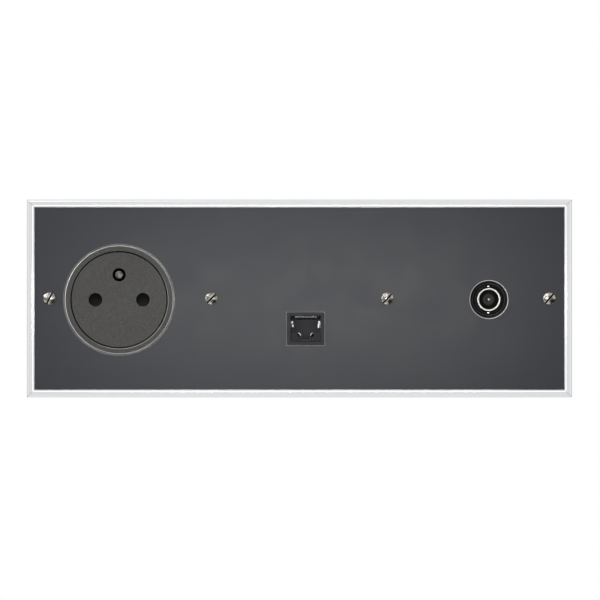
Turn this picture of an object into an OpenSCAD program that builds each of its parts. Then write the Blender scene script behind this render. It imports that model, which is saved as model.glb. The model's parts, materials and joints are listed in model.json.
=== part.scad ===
// Multimedia wall socket: a chrome framed dark plate with a flush outlet, a data jack and a coax jack.
// Drawn facing the viewer: X right, Y up, Z out of the wall, and stood upright at the end.
// The origin is on the wall plane, midway between the outer fixing screws.

/* [Plate] */
// Width over the chrome frame
plate_w = 218; // [214:1:240]
// Height over the chrome frame
plate_h = 79; // [76:1:90]
// Thickness of the dark face panel
panel_t = 2; // [1.6:0.1:3]
// Thickness of the steel backing plate
backing_t = 1.5; // [1:0.1:2.5]
// Gap seen between the face panel and the frame
panel_gap = 0.35; // [0.2:0.05:0.6]
// Width of the small polished chamfer round each cut-out in the panel
edge_chamfer = 0.25; // [0.1:0.05:0.4]

/* [Chrome frame] */
// Width of the frame seen from the front
frame_band = 2.7; // [2.2:0.1:4]
// How far the frame stands out of the face panel
frame_rise = 0.7; // [0.4:0.1:1.5]
// Width of the inner bevel
bevel_w = 0.6; // [0.3:0.1:1]
// Drop of the rounded outer edge
frame_round = 1; // [0.4:0.1:1.5]
// Width of the hidden lip that carries the backing plate
lip_w = 3; // [2:0.5:5]
// Thickness of that lip
lip_t = 0.8; // [0.6:0.1:1.5]

/* [Fixing screws] */
// Distance from the plate's ends to the outer screws
screw_inset = 9; // [8:0.5:12]
// Distance between an outer screw and the inner one beside it
screw_spacing = 64.8; // [63:0.1:66]
// Diameter of the thread
screw_d = 3; // [2.5:0.5:3.5]
// Reach of the thread behind the wall plane
screw_reach = 18; // [10:1:30]
// Diameter of the head
head_d = 4.9; // [4.6:0.1:6]
// Height of the head at its crown
head_h = 1.2; // [0.9:0.1:1.6]
// Height of the head at its rim
head_rim_h = 0.5; // [0.3:0.1:0.8]
// Width of the slot
slot_w = 0.75; // [0.5:0.05:1]
// Depth of the slot
slot_depth = 0.7; // [0.4:0.1:0.9]
// How the four slots were left, in degrees, from left to right
slot_angles = [62, 43, 47, 49];

/* [Flush outlet] */
// Distance from the left outer screw to the edge of the fixed ring
outlet_gap = 6.05; // [5.5:0.05:7]
// Place of the outlet, up
outlet_y = -0.5; // [-3:0.1:3]
// Width of the fixed ring
ring_w = 2.5; // [2.2:0.1:2.8]
// Diameter of the sprung disc
disc_d = 38.2; // [37.6:0.1:38.8]
// How far the ring and the disc stand out of the panel
outlet_rise = 0.5; // [0.2:0.1:1]
// Travel of the disc as a plug is pushed in
disc_travel = 12; // [8:0.5:12]
// Thickness of the disc's face
disc_t = 2.6; // [2:0.1:3.2]
// Wall of the disc's skirt
skirt_wall = 1.5; // [1:0.1:2]
// Depth of the disc over its skirt
skirt_depth = 8.8; // [8:0.1:11]
// Distance between the live holes
live_pitch = 19; // [18.6:0.1:19.4]
// Diameter of the live holes
live_hole_d = 5.5; // [5:0.1:5.8]
// Height of the earth pin over the live holes
earth_rise = 10; // [9.6:0.1:10.4]
// Diameter of the earth pin
earth_pin_d = 4.8; // [4.6:0.1:5]
// Diameter of the flat on the earth pin's tip
earth_tip_d = 3.2; // [2.6:0.1:3.8]

/* [Outlet works] */
// Thickness of the shutter bar at its ramp
shutter_t = 2.3; // [2:0.1:2.4]
// Lap of the shutter bar past the live holes
shutter_lap = 0.75; // [0.5:0.05:0.9]
// Height of the shutter bar
shutter_h = 6.2; // [6:0.1:6.6]
// Thickness of the tray that carries the shutter
tray_t = 1.2; // [1:0.1:1.6]
// Travel of the shutter past the lower edge of the live holes
shutter_clear = 0.55; // [0.3:0.05:0.7]
// Wall of the contact sleeves
sleeve_wall = 0.7; // [0.5:0.1:0.8]
// Outer wall of the housing
housing_wall = 1.9; // [1.4:0.1:2.4]
// Depth of the housing's floor behind the wall plane
floor_depth = 28; // [28:0.5:32]
// Thickness of the housing's floor
floor_t = 2; // [1.5:0.1:3]
// Height of the terminal blocks
terminal_h = 7; // [6:0.5:9]
// Thickness of the rear cover
cover_t = 1.6; // [1.2:0.1:2.4]

/* [Data jack] */
// Place of the jack, across
data_x = 2.5; // [-6:0.1:6]
// Height of the jack over the plate's lower edge
data_rise = 27.4; // [26.6:0.1:28.4]
// Width of the bezel on each side of the opening
bezel_side = 1.4; // [1.2:0.1:2]
// Width of the bezel over and under the opening
bezel_end = 1.325; // [1.2:0.025:2]
// How far the bezel stands out of the panel
bezel_rise = 0.3; // [0.1:0.1:0.6]
// Width of the opening
port_w = 11.9; // [11.7:0.1:12.1]
// Height of the opening
port_h = 10.15; // [10:0.05:10.4]
// Depth of the opening behind the wall plane
port_depth = 8.5; // [8:0.5:10]
// Height of the insert's corner blocks
keyway_h = 3.65; // [3.5:0.05:3.8]
// Width of the latch channel
latch_w = 6.4; // [6:0.1:6.8]
// Width of the channel's narrow foot
latch_foot_w = 4.5; // [4:0.1:5]
// Height of the foot
latch_foot_h = 1.6; // [1.4:0.1:1.8]
// Distance between contacts
contact_pitch = 1.02; // [1:0.01:1.04]
// Width of one contact wire
contact_w = 0.4; // [0.3:0.05:0.45]

/* [Coax jack] */
// Distance from the plate's right end to the jack
coax_inset = 33.2; // [29:0.1:39]
// Place of the jack, up
coax_y = -0.4; // [-3:0.1:3]
// Diameter of the cut-out in the panel
coax_hole_d = 15; // [14.8:0.1:15.6]
// Diameter of the barrel
barrel_d = 9.6; // [9.5:0.1:9.7]
// Wall of the barrel
barrel_wall = 0.9; // [0.6:0.05:1]
// Depth of the barrel's tip behind the panel's face
barrel_recess = 0.3; // [0:0.1:1]
// Reach of the two bayonet lugs out of the barrel
lug_reach = 1; // [0.8:0.05:1.1]
// Diameter of one lug
lug_d = 1.6; // [1.2:0.1:2]
// Distance from the barrel's tip to the lugs' axis
lug_back = 4.6; // [4.2:0.1:5.4]
// Diameter of the insulator's boss
boss_d = 4.9; // [4.6:0.1:5.2]
// Diameter of the centre contact
centre_d = 1.3; // [1.2:0.1:1.5]

/* [Hidden] */
$fn = 96;

// Clearances
slip = 0.2;
running = 0.25;
thread_gap = 0.05;
cut = 1;

// Levels out of the wall
panel_back = lip_t + backing_t;
panel_front = panel_back + panel_t;
frame_crest = panel_front + frame_rise;

// Studs and their nuts
stud_d = 3;
nut_flats = 5.5;
nut_h = 2.4;
stud_l = 5.4;

// Fixing screws
outer_pitch = plate_w - 2 * screw_inset;
inner_pitch = outer_pitch - 2 * screw_spacing;
screw_places = [-outer_pitch / 2, -inner_pitch / 2, inner_pitch / 2, outer_pitch / 2];
neck_r = screw_d / 2 - 0.2;
screw_hole_r = screw_d / 2 + 0.3;

// Outlet
outlet_face = panel_front + outlet_rise;
disc_r = disc_d / 2;
guide_r = disc_r + running;
guide_wall = 1.5;
collar_r = guide_r + ring_w;
outlet_x = collar_r + outlet_gap - outer_pitch / 2;
skirt_r = disc_r - skirt_wall;
disc_back = outlet_face - disc_t;
skirt_back = outlet_face - skirt_depth;
guide_l = disc_travel - skirt_back + 0.5;
key_w = 3;
key_reach = 0.9;
key_h = 1.6;
live_r = live_hole_d / 2;
earth_r = earth_pin_d / 2;
earth_hole_r = earth_r + running;
housing_in = guide_r + guide_wall + slip;
housing_r = housing_in + housing_wall;
floor_front = -floor_depth;
floor_back = floor_front - floor_t;
cover_front = floor_back - terminal_h;

// Bridge that holds the outlet, between the ring and the frame's lip
lip_edge = plate_h / 2 - frame_band - lip_w - abs(outlet_y);
bridge_t = 1.5;
bridge_rail = 2;
bridge_gap = 1;
bridge_w = 2 * (housing_in + bridge_rail);
bridge_h = 2 * (lip_edge - bridge_gap);
bridge_back = lip_t - bridge_t;
stud_turns = [135, 315];
stud_circle = housing_r + nut_flats / 2 / cos(30) + 0.5;
rivet_turns = [45, 225];
rivet_r = 1.2;
rivet_head_r = 2;
rivet_seat = housing_r + rivet_head_r + slip;
ear_r = 2.6;
ear_t = 3;

// Shutter and its tray
tray_front = disc_back - shutter_t - 0.3;
tray_back = tray_front - tray_t;
tray_r = skirt_r - 0.1;
peg_r = 1.8;
peg_pin_r = 0.8;
peg_circle = skirt_r - peg_r - 0.3;
pegs = [for (turn = [49, 131, 234, 306]) peg_circle * [cos(turn), sin(turn)]];
ramp_w = live_hole_d + 2 * shutter_lap;
shutter_w = live_pitch + ramp_w;
shutter_travel = shutter_h / 2 + live_r + shutter_clear;
spring_wire = 0.3;
spring_r = 0.75;
spring_stop = tray_r - 3.5;
return_r = 4.1;
return_wire = 0.9;
return_turns = 8;
spring_post_r = 3.4;
spring_post_h = 2.4;

// Contacts: the tray stops just short of them when the disc is home
contact_tip = tray_back - disc_travel - 0.8;
sleeve_r = live_r - 0.35;

// Terminals
terminal_w = 7;
terminal_l = 9;
wire_r = 1.5;
wire_z = floor_back - terminal_h / 2;
clamp_r = 1.5;
clamp_head_r = 2.2;
clamp_head_h = 1.3;
cover_screw_y = -7;

// Data jack
data_y = data_rise - plate_h / 2;
bezel_w = port_w + 2 * bezel_side;
bezel_h = port_h + 2 * bezel_end;
bezel_front = panel_front + bezel_rise;
lip_depth = 0.7;
sheet = 0.25;
insert_set = 1;
insert_front = bezel_front - insert_set;
port_back = -port_depth;
wall_back = port_back - 3.5;
channel_back = port_back + 2.5;
key_top = keyway_h - port_h / 2;
ledge_y = latch_foot_h + 0.35 - port_h / 2;
comb_h = 1.4;
comb_front = port_back + 3;
comb_w = port_w - 1.5;
wire_roof = port_h / 2 - 0.35;
flange_t = 2;
flange_back = lip_t - flange_t;
data_stud = bezel_h / 2 + 8.6;
data_flange_w = bezel_w + 5.3;
data_flange_h = 2 * (data_stud + 4);
board_t = 1.6;
board_back = wall_back - board_t;
idc_d = 9;
cap_t = 2;

// Coax jack
coax_x = plate_w / 2 - coax_inset;
coax_tip = panel_front - barrel_recess;
barrel_r = barrel_d / 2;
barrel_in = barrel_r - barrel_wall;
barrel_relief = 0.2;
lug_span = barrel_d + 2 * lug_reach;
nose_back = coax_tip - lug_back + lug_d / 2 + 0.3;
cup_r = coax_hole_d / 2 - 0.1;
cup_wall = 1;
cup_floor_r = barrel_r + 0.6;
cup_step = (cup_r - cup_floor_r) / 2;
first_step = -4;
second_step = -6;
cup_floor = -7.6;
cup_back = cup_floor - 2;
shoulder_h = 1;
body_base = cup_floor + shoulder_h;
thread_r = barrel_r - barrel_relief;
coax_end = cup_back - 7.4;
insulator_r = 2;
boss_top = coax_tip - 2.6;
coax_stud = cup_r + 6.6;
coax_flange_w = 2 * (cup_r + cup_wall + 2.6);
coax_flange_h = 2 * (coax_stud + 4);
washer_t = 0.6;
tag_t = 0.5;
tag_reach = 12;
lock_nut_h = 2.5;
lock_nut_flats = 2 * thread_r + 3.3;

// Stands the drawing upright, facing -Y with +Z up
module upright() {
    rotate([90, 0, 0]) children();
}

module at_outlet() {
    upright() translate([outlet_x, outlet_y, 0]) children();
}

module at_data() {
    upright() translate([data_x, data_y, 0]) children();
}

module at_coax() {
    upright() translate([coax_x, coax_y, 0]) children();
}

// Solids between two levels
module rod(r, from, to) {
    translate([0, 0, from]) cylinder(r = r, h = to - from);
}

module tube(r_out, r_in, from, to) {
    difference() {
        rod(r_out, from, to);
        rod(r_in, from - cut, to + cut);
    }
}

module cone(r_from, r_to, from, to) {
    translate([0, 0, from]) cylinder(r1 = r_from, r2 = r_to, h = to - from);
}

module block(w, h, from, to) {
    translate([-w / 2, -h / 2, from]) cube([w, h, to - from]);
}

module span(x0, x1, y0, y1, from, to) {
    translate([x0, y0, from]) cube([x1 - x0, y1 - y0, to - from]);
}

module rounded(w, h, r) {
    square([w - 2 * r, h], center = true);
    square([w, h - 2 * r], center = true);
    for (x = [-1, 1], y = [-1, 1])
        translate([x * (w / 2 - r), y * (h / 2 - r)]) circle(r);
}

module rounded_block(w, h, r, from, to) {
    translate([0, 0, from]) linear_extrude(to - from) rounded(w, h, r);
}

// Rectangular countersink: w by h at the bottom, wider by the depth on each side at the top
module rectangular_sink(w, h, top, depth) {
    intersection() {
        rotate([90, 0, 0]) linear_extrude(h + 4 * depth, center = true)
            sink_profile(w, top, depth);
        rotate([90, 0, 90]) linear_extrude(w + 4 * depth, center = true)
            sink_profile(h, top, depth);
    }
}

module sink_profile(w, top, depth) {
    polygon([
        [-w / 2, top - depth], [w / 2, top - depth],
        [w / 2 + 2 * depth, top + depth], [-w / 2 - 2 * depth, top + depth]
    ]);
}

module hex_nut(flats, bore_r, from, to) {
    difference() {
        translate([0, 0, from]) cylinder(r = flats / 2 / cos(30), h = to - from, $fn = 6);
        rod(bore_r, from - cut, to + cut);
    }
}

// Wire coil along +Z from 0 to length
module coil(mean_r, wire, length, turns, steps, sides) {
    wire_r = wire / 2;
    last = turns * steps;
    rise = (length - wire) / last;
    points = [
        for (i = [0:last], k = [0:sides - 1])
            let (turn = 360 * i / steps, r = mean_r + wire_r * cos(360 * k / sides))
                [r * cos(turn), r * sin(turn), wire_r + rise * i + wire_r * sin(360 * k / sides)]
    ];
    sides_of_wire = [
        for (i = [0:last - 1], k = [0:sides - 1])
            let (a = i * sides + k, b = i * sides + (k + 1) % sides)
                each [[a, b, b + sides], [a, b + sides, a + sides]]
    ];
    first_end = [for (k = [sides - 1:-1:0]) k];
    far_end = [for (k = [0:sides - 1]) last * sides + k];
    polyhedron(points, concat([first_end], sides_of_wire, [far_end]));
}

// Chrome frame

// Section over the full width w of the frame, its outer edges rounded
function frame_section(w) =
    let (top_w = frame_band - bevel_w, steps = 12, edge = [
        for (i = [0:steps])
            let (turn = 90 * i / steps)
                [top_w * (1 - cos(turn)), frame_crest - frame_round * (1 - sin(turn))]
    ])
        concat(
            [[-w / 2, 0]],
            [for (i = [0:steps]) [edge[i][0] - w / 2, edge[i][1]]],
            [for (i = [steps:-1:0]) [w / 2 - edge[i][0], edge[i][1]]],
            [[w / 2, 0]]
        );

module trim_frame() {
    window_w = plate_w - 2 * frame_band;
    window_h = plate_h - 2 * frame_band;
    color("gainsboro") upright()
        difference() {
            intersection() {
                rotate([90, 0, 0]) linear_extrude(plate_h + 2 * cut, center = true)
                    polygon(frame_section(plate_w));
                rotate([90, 0, 90]) linear_extrude(plate_w + 2 * cut, center = true)
                    polygon(frame_section(plate_h));
            }
            block(window_w, window_h, lip_t, frame_crest + cut);
            block(window_w - 2 * lip_w, window_h - 2 * lip_w, -cut, lip_t + cut);
            rectangular_sink(window_w, window_h, frame_crest, bevel_w);
        }
}

// Plates

module screw_holes(from, to) {
    for (x = screw_places)
        translate([x, 0, 0]) rod(screw_hole_r, from, to);
}

// A pair of welded studs, above and below a module's centre
module stud_pair(half_pitch) {
    for (side = [-1, 1])
        translate([0, side * half_pitch, 0]) rod(stud_d / 2, lip_t - stud_l, lip_t + backing_t / 2);
}

module backing_plate() {
    inset = frame_band + slip;
    color("silver") upright() {
        difference() {
            block(plate_w - 2 * inset, plate_h - 2 * inset, lip_t, panel_back);
            screw_holes(0, panel_front);
            translate([outlet_x, outlet_y, 0]) rod(collar_r + slip + 0.1, 0, panel_front);
            translate([coax_x, coax_y, 0]) rod(cup_r + cup_wall + slip, 0, panel_front);
            translate([data_x, data_y, 0])
                block(bezel_w + 2 * slip, bezel_h + 2 * slip, 0, panel_front);
        }
        translate([outlet_x, outlet_y, 0]) rotate(stud_turns[0] - 90) stud_pair(stud_circle);
        translate([data_x, data_y, 0]) stud_pair(data_stud);
        translate([coax_x, coax_y, 0]) stud_pair(coax_stud);
    }
}

// Round cut-out with its chamfer
module round_cut(r) {
    rod(r, panel_back - cut, panel_front + cut);
    cone(r, r + 2 * edge_chamfer, panel_front - edge_chamfer, panel_front + edge_chamfer);
}

module face_panel() {
    inset = frame_band + panel_gap;
    color("dimgray") upright()
        difference() {
            block(plate_w - 2 * inset, plate_h - 2 * inset, panel_back, panel_front);
            screw_holes(panel_back - cut, panel_front + cut);
            translate([outlet_x, outlet_y, 0]) round_cut(collar_r + slip);
            translate([coax_x, coax_y, 0]) round_cut(coax_hole_d / 2);
            translate([data_x, data_y, 0]) {
                block(bezel_w + slip, bezel_h + slip, panel_back - cut, panel_front + cut);
                rectangular_sink(bezel_w + slip, bezel_h + slip, panel_front, edge_chamfer);
            }
        }
}

// Fixing screws

module plate_screw(place) {
    dome = head_h - head_rim_h;
    dome_r = (head_d * head_d / 4 + dome * dome) / (2 * dome);
    color("lightgray") upright() translate([screw_places[place], 0, 0])
        difference() {
            union() {
                intersection() {
                    rod(head_d / 2, panel_front, panel_front + head_h);
                    translate([0, 0, panel_front + head_h - dome_r]) sphere(dome_r);
                }
                rod(neck_r, -1, panel_front);
                rod(screw_d / 2, -screw_reach, 0);
            }
            translate([0, 0, panel_front]) rotate(slot_angles[place])
                block(head_d + cut, slot_w, head_h - slot_depth, head_h + cut);
        }
}

// Flush outlet: what is seen

module socket_collar() {
    bevel = 0.35;
    lead = 0.15;
    color("dimgray") at_outlet()
        difference() {
            union() {
                rotate_extrude()
                    polygon([
                        [guide_r, lip_t], [collar_r, lip_t], [collar_r, outlet_face - bevel],
                        [collar_r - bevel, outlet_face], [guide_r + lead, outlet_face],
                        [guide_r, outlet_face - lead]
                    ]);
                tube(guide_r + guide_wall, guide_r, -guide_l, lip_t);
            }
            key_slots();
        }
}

// Slots in the collar's guide for the disc's keys
module key_slots() {
    for (turn = [90, 210, 330])
        rotate(turn)
            span(disc_r - 1, housing_in, -key_w / 2 - running, key_w / 2 + running,
                -guide_l - cut, skirt_back + key_h + slip);
}

module socket_disc() {
    lead = 0.15;
    color("dimgray") at_outlet()
        difference() {
            union() {
                rotate_extrude()
                    polygon([
                        [0, disc_back], [skirt_r, disc_back], [skirt_r, skirt_back], [disc_r, skirt_back],
                        [disc_r, outlet_face - lead], [disc_r - lead, outlet_face], [0, outlet_face]
                    ]);
                for (turn = [90, 210, 330])
                    rotate(turn)
                        span(skirt_r + 0.5, disc_r + key_reach, -key_w / 2, key_w / 2,
                            skirt_back, skirt_back + key_h);
                for (p = pegs)
                    translate([p[0], p[1], 0]) {
                        rod(peg_r, tray_front, disc_back + 0.5);
                        rod(peg_pin_r, tray_back, tray_front + 0.5);
                    }
            }
            for (x = [-1, 1])
                translate([x * live_pitch / 2, 0, 0]) rod(live_r, disc_back - cut, outlet_face + cut);
            translate([0, earth_rise, 0]) rod(earth_hole_r, tray_front - cut, outlet_face + cut);
        }
}

module earth_pin() {
    taper = (earth_pin_d - earth_tip_d) / 2;
    tip = outlet_face - 0.5;
    color("gold") at_outlet() translate([0, earth_rise, 0]) {
        rod(earth_r, floor_back, tip - taper);
        cone(earth_r, earth_tip_d / 2, tip - taper, tip);
    }
}

// Flush outlet: shutter and springs

module shutter_tray() {
    rib_w = 1.2;
    rib_x = shutter_w / 2 + running;
    rib_low = -shutter_h / 2 - shutter_travel;
    rib_high = shutter_h / 2 + 0.9;
    rib_front = disc_back - 0.4;
    color("lightyellow") at_outlet()
        difference() {
            union() {
                rod(tray_r, tray_back, tray_front);
                rod(spring_post_r, tray_back - spring_post_h, tray_back);
                intersection() {
                    rod(tray_r, tray_front - 0.1, rib_front);
                    union() {
                        for (side = [-1, 1])
                            scale([side, 1, 1])
                                span(rib_x, rib_x + rib_w, rib_low, rib_high, tray_front - 0.1, rib_front);
                        span(-1.5, 1.5, -spring_stop - rib_w, -spring_stop, tray_front - 0.1, rib_front);
                    }
                }
            }
            for (x = [-1, 1])
                translate([x * live_pitch / 2, 0, 0]) rod(live_r + 0.2, tray_back - cut, tray_front + cut);
            translate([0, earth_rise, 0]) rod(earth_hole_r, tray_back - cut, tray_front + cut);
            for (p = pegs)
                translate([p[0], p[1], 0]) rod(peg_pin_r + thread_gap, tray_back - cut, tray_front + cut);
        }
}

module socket_shutter() {
    low = tray_front + 0.1;
    high = low + shutter_t;
    thin = 0.7;
    crest = 0.9;
    bottom = -shutter_h / 2;
    top = shutter_h / 2;
    color("ivory") at_outlet() {
        for (side = [-1, 1])
            translate([side * live_pitch / 2, 0, 0])
                rotate([90, 0, 90]) linear_extrude(ramp_w, center = true)
                    polygon([
                        [bottom, low], [top, low], [top, low + thin],
                        [bottom + crest, high], [bottom, high]
                    ]);
        block(live_pitch - ramp_w + 2, shutter_h, low, low + 1.4);
    }
}

module shutter_spring() {
    length = spring_stop - shutter_h / 2;
    color("silver") at_outlet()
        translate([0, -spring_stop, tray_front + spring_r + spring_wire / 2 + 0.15])
            rotate([-90, 0, 0]) coil(spring_r, spring_wire, length, 11, 12, 6);
}

module disc_spring() {
    color("silver") at_outlet()
        translate([0, 0, floor_front])
            coil(return_r, return_wire, tray_back - floor_front, return_turns, 28, 8);
}

// Flush outlet: contacts and terminals

module live_contact(side) {
    mouth = 1.2;
    color("gold") at_outlet() translate([side * live_pitch / 2, 0, 0])
        difference() {
            tube(sleeve_r + sleeve_wall, sleeve_r, floor_back, contact_tip);
            cone(sleeve_r, sleeve_r + sleeve_wall - 0.15, contact_tip - mouth, contact_tip + 0.01);
            rotate(90 - 90 * side) span(0, live_r + 2, -0.4, 0.4, floor_front + 3, contact_tip + cut);
        }
}

module terminal(turn) {
    color("goldenrod") at_outlet() terminal_place(turn)
        difference() {
            block(terminal_w, terminal_l, cover_front, floor_back);
            translate([0, 0, wire_z]) rotate([90, 0, 0]) cylinder(r = wire_r, h = terminal_l + cut, center = true);
            rod(clamp_r + thread_gap, cover_front - cut, wire_z);
        }
}

module terminal_screw(turn) {
    color("lightgray") at_outlet() terminal_place(turn)
        difference() {
            union() {
                rod(clamp_r, cover_front, wire_z - 0.3);
                rod(clamp_head_r, cover_front - clamp_head_h, cover_front);
            }
            block(2 * clamp_head_r + cut, 0.8, cover_front - clamp_head_h - cut, cover_front - clamp_head_h + 0.6);
        }
}

// 0 is the left live terminal, 1 the right one and 2 the earth
module terminal_place(which) {
    places = [[-live_pitch / 2, 0, 0], [live_pitch / 2, 0, 0], [0, earth_rise, 0]];
    translate(places[which]) children();
}

// Flush outlet: housing

module socket_housing() {
    post_h = 8;
    color("whitesmoke") at_outlet()
        difference() {
            union() {
                tube(housing_r, housing_in, floor_back, bridge_back);
                tube(housing_r, housing_in, cover_front, floor_back);
                rod(housing_r - 0.5, floor_back, floor_front);
                for (side = [-1, 1])
                    translate([side * live_pitch / 2, 0, 0])
                        rod(live_r + 1.4, floor_front - 0.5, floor_front + post_h);
                translate([0, earth_rise, 0]) rod(earth_r + 1.3, floor_front - 0.5, floor_front + post_h);
                rod(spring_post_r, floor_front - 0.5, floor_front + 2);
                translate([0, cover_screw_y, 0]) rod(2.8, cover_front, floor_back + 0.5);
                for (turn = rivet_turns)
                    rotate(turn) {
                        translate([rivet_seat, 0, 0]) rod(ear_r, bridge_back - ear_t, bridge_back);
                        span(housing_in + 0.5, rivet_seat, -ear_r, ear_r, bridge_back - ear_t, bridge_back);
                    }
            }
            for (side = [-1, 1])
                translate([side * live_pitch / 2, 0, 0])
                    rod(live_r + 0.4, floor_back - cut, floor_front + post_h + cut);
            translate([0, earth_rise, 0]) rod(earth_r + thread_gap, floor_back - cut, floor_front + post_h + cut);
            for (turn = rivet_turns)
                rotate(turn) translate([rivet_seat, 0, 0])
                    rod(rivet_r + thread_gap, bridge_back - ear_t - cut, bridge_back + cut);
            translate([0, cover_screw_y, 0]) rod(1.3, cover_front - cut, floor_back);
            for (x = [-1, 1])
                translate([x * live_pitch / 2, 0, wire_z]) rotate([90, 0, 0]) rod(wire_r + 0.6, 0, housing_r + cut);
            translate([0, 0, wire_z]) rotate([-90, 0, 0]) rod(wire_r + 0.6, earth_rise, housing_r + cut);
        }
}

module socket_cover() {
    color("whitesmoke") at_outlet()
        difference() {
            rod(housing_r, cover_front - cover_t, cover_front);
            for (which = [0:2])
                terminal_place(which) rod(clamp_head_r + 0.4, cover_front - cover_t - cut, cover_front + cut);
            translate([0, cover_screw_y, 0]) rod(1.5, cover_front - cover_t - cut, cover_front + cut);
        }
}

module cover_screw() {
    head = 2.5;
    color("lightgray") at_outlet() translate([0, cover_screw_y, 0])
        difference() {
            union() {
                rod(1.25, cover_front - cover_t, floor_back - 1);
                rod(head, cover_front - cover_t - 1.2, cover_front - cover_t);
            }
            block(2 * head + cut, 0.7, cover_front - cover_t - 2, cover_front - cover_t - 0.6);
        }
}

module socket_bridge() {
    color("silver") at_outlet()
        difference() {
            rounded_block(bridge_w, bridge_h, 4, bridge_back, lip_t);
            rod(guide_r + guide_wall + slip, bridge_back - cut, lip_t + cut);
            for (turn = stud_turns)
                rotate(turn) translate([stud_circle, 0, 0])
                    rod(stud_d / 2 + slip, bridge_back - cut, lip_t + cut);
            for (turn = rivet_turns)
                rotate(turn) translate([rivet_seat, 0, 0])
                    rod(rivet_r + thread_gap, bridge_back - cut, lip_t + cut);
        }
}

module socket_rivet(turn) {
    color("silver") at_outlet() rotate(turn) translate([rivet_seat, 0, 0]) {
        rod(rivet_r, bridge_back - ear_t, lip_t);
        rod(rivet_head_r, bridge_back - ear_t - 0.8, bridge_back - ear_t);
    }
}

module bridge_nut(turn) {
    at_outlet() rotate(turn - 90) stud_nut(1, stud_circle, bridge_back);
}

module stud_nut(side, half_pitch, seat) {
    color("lightgray") translate([0, side * half_pitch, 0])
        hex_nut(nut_flats, stud_d / 2 + thread_gap, seat - nut_h, seat);
}

// Data jack

module data_bezel() {
    lead = 0.2;
    color("dimgray") at_data()
        difference() {
            union() {
                block(bezel_w, bezel_h, port_back, bezel_front);
                rounded_block(data_flange_w, data_flange_h, 3, flange_back, lip_t);
            }
            block(port_w, port_h, port_back - cut, bezel_front + cut);
            rectangular_sink(port_w, port_h, bezel_front, lead);
            span(-port_w / 2 - sheet, port_w / 2 + sheet, key_top, port_h / 2 + sheet,
                port_back - cut, bezel_front - lip_depth);
            for (side = [-1, 1])
                translate([0, side * data_stud, 0]) rod(stud_d / 2 + slip, flange_back - cut, lip_t + cut);
        }
}

// Folded sheet over the top and both sides, with two ground fingers on each side
module data_shield() {
    front = bezel_front - lip_depth - 0.1;
    finger_h = 1.35;
    finger_gap = 0.3;
    finger_reach = 1.05;
    finger_low = key_top + 1.6;
    color("silver") at_data() {
        span(-port_w / 2 - sheet, port_w / 2 + sheet, port_h / 2, port_h / 2 + sheet, port_back, front);
        for (side = [-1, 1])
            scale([side, 1, 1]) {
                span(port_w / 2, port_w / 2 + sheet, key_top, port_h / 2 + sheet, port_back, front);
                for (i = [0, 1])
                    translate([0, finger_low + finger_h + i * (finger_h + finger_gap), 0])
                        rotate([90, 0, 0]) linear_extrude(finger_h) finger_profile(front, finger_reach);
            }
    }
}

module finger_profile(front, reach) {
    edge = port_w / 2;
    polygon([
        [edge + sheet, front - 0.6], [edge, front - 0.6], [edge - reach, front - 3],
        [edge - reach, front - 3.8], [edge, front - 6.2], [edge + sheet, front - 6.2],
        [edge - reach + sheet, front - 3.7], [edge - reach + sheet, front - 3.1]
    ]);
}

module data_insert() {
    color("darkslategray") at_data()
        difference() {
            union() {
                block(bezel_w, bezel_h, wall_back, port_back);
                span(-port_w / 2, port_w / 2, -port_h / 2, key_top, port_back - 0.5, insert_front);
            }
            span(-latch_w / 2, latch_w / 2, ledge_y, key_top + cut, channel_back, insert_front + cut);
            span(-latch_foot_w / 2, latch_foot_w / 2, ledge_y - latch_foot_h, ledge_y + cut,
                channel_back, insert_front + cut);
            for (i = [0:7])
                translate([(i - 3.5) * contact_pitch, port_h / 2 - 0.55, 0])
                    block(contact_w + 0.1, 0.5, wall_back - cut, port_back + cut);
        }
}

module data_comb() {
    slot = contact_w + 0.12;
    spine = 1;
    color("darkgray") at_data()
        difference() {
            span(-comb_w / 2, comb_w / 2, port_h / 2 - comb_h, port_h / 2, port_back, comb_front);
            for (i = [0:7])
                translate([(i - 3.5) * contact_pitch, 0, 0]) {
                    span(-slot / 2, slot / 2, port_h / 2 - comb_h - cut, port_h / 2 + cut,
                        port_back + spine, comb_front + cut);
                    span(-slot / 2, slot / 2, wire_roof - 0.5, port_h / 2 + cut, port_back - cut, comb_front);
                }
        }
}

// Sprung clip in the latch channel, rolled over the ledges on both sides
module data_latch_clip() {
    thick = 0.3;
    roll_r = 1.4;
    front = insert_front - 0.3;
    roll_x = latch_w / 2 - roll_r;
    roll_y = ledge_y + roll_r;
    color("silver") at_data() {
        for (side = [-1, 1])
            scale([side, 1, 1]) {
                intersection() {
                    translate([roll_x, roll_y, 0]) tube(roll_r, roll_r - thick, channel_back, front);
                    span(roll_x, latch_w / 2 + cut, ledge_y - cut, roll_y, channel_back, front);
                }
                span(latch_w / 2 - thick, latch_w / 2, roll_y - 0.1, key_top, channel_back, front);
            }
        span(-latch_w / 2, latch_w / 2, roll_y - 0.1, key_top, channel_back, channel_back + thick);
    }
}

// Bent wire: along the roof from the board, round the front bend and back down to the comb
module data_contact(i) {
    roof = wire_roof;
    thick = 0.3;
    front = 1;
    tip_y = roof - 1;
    color("gold") at_data() translate([(i - 4.5) * contact_pitch, 0, 0])
        rotate([90, 0, 90]) linear_extrude(contact_w, center = true)
            polygon([
                [roof, board_back], [roof, front], [roof - 0.15, front + 0.25], [roof - 0.45, front + 0.25],
                [roof - 0.6, front], [tip_y, comb_front - 1], [tip_y + thick, comb_front - 1],
                [roof - thick, front - 0.4], [roof - thick, board_back]
            ]);
}

module data_board() {
    color("darkgreen") at_data()
        difference() {
            block(bezel_w + 1, bezel_h + 3, board_back, wall_back);
            for (i = [0:7])
                translate([(i - 3.5) * contact_pitch, port_h / 2 - 0.5, 0])
                    block(contact_w + 0.1, 0.5, board_back - cut, wall_back + cut);
        }
}

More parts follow.
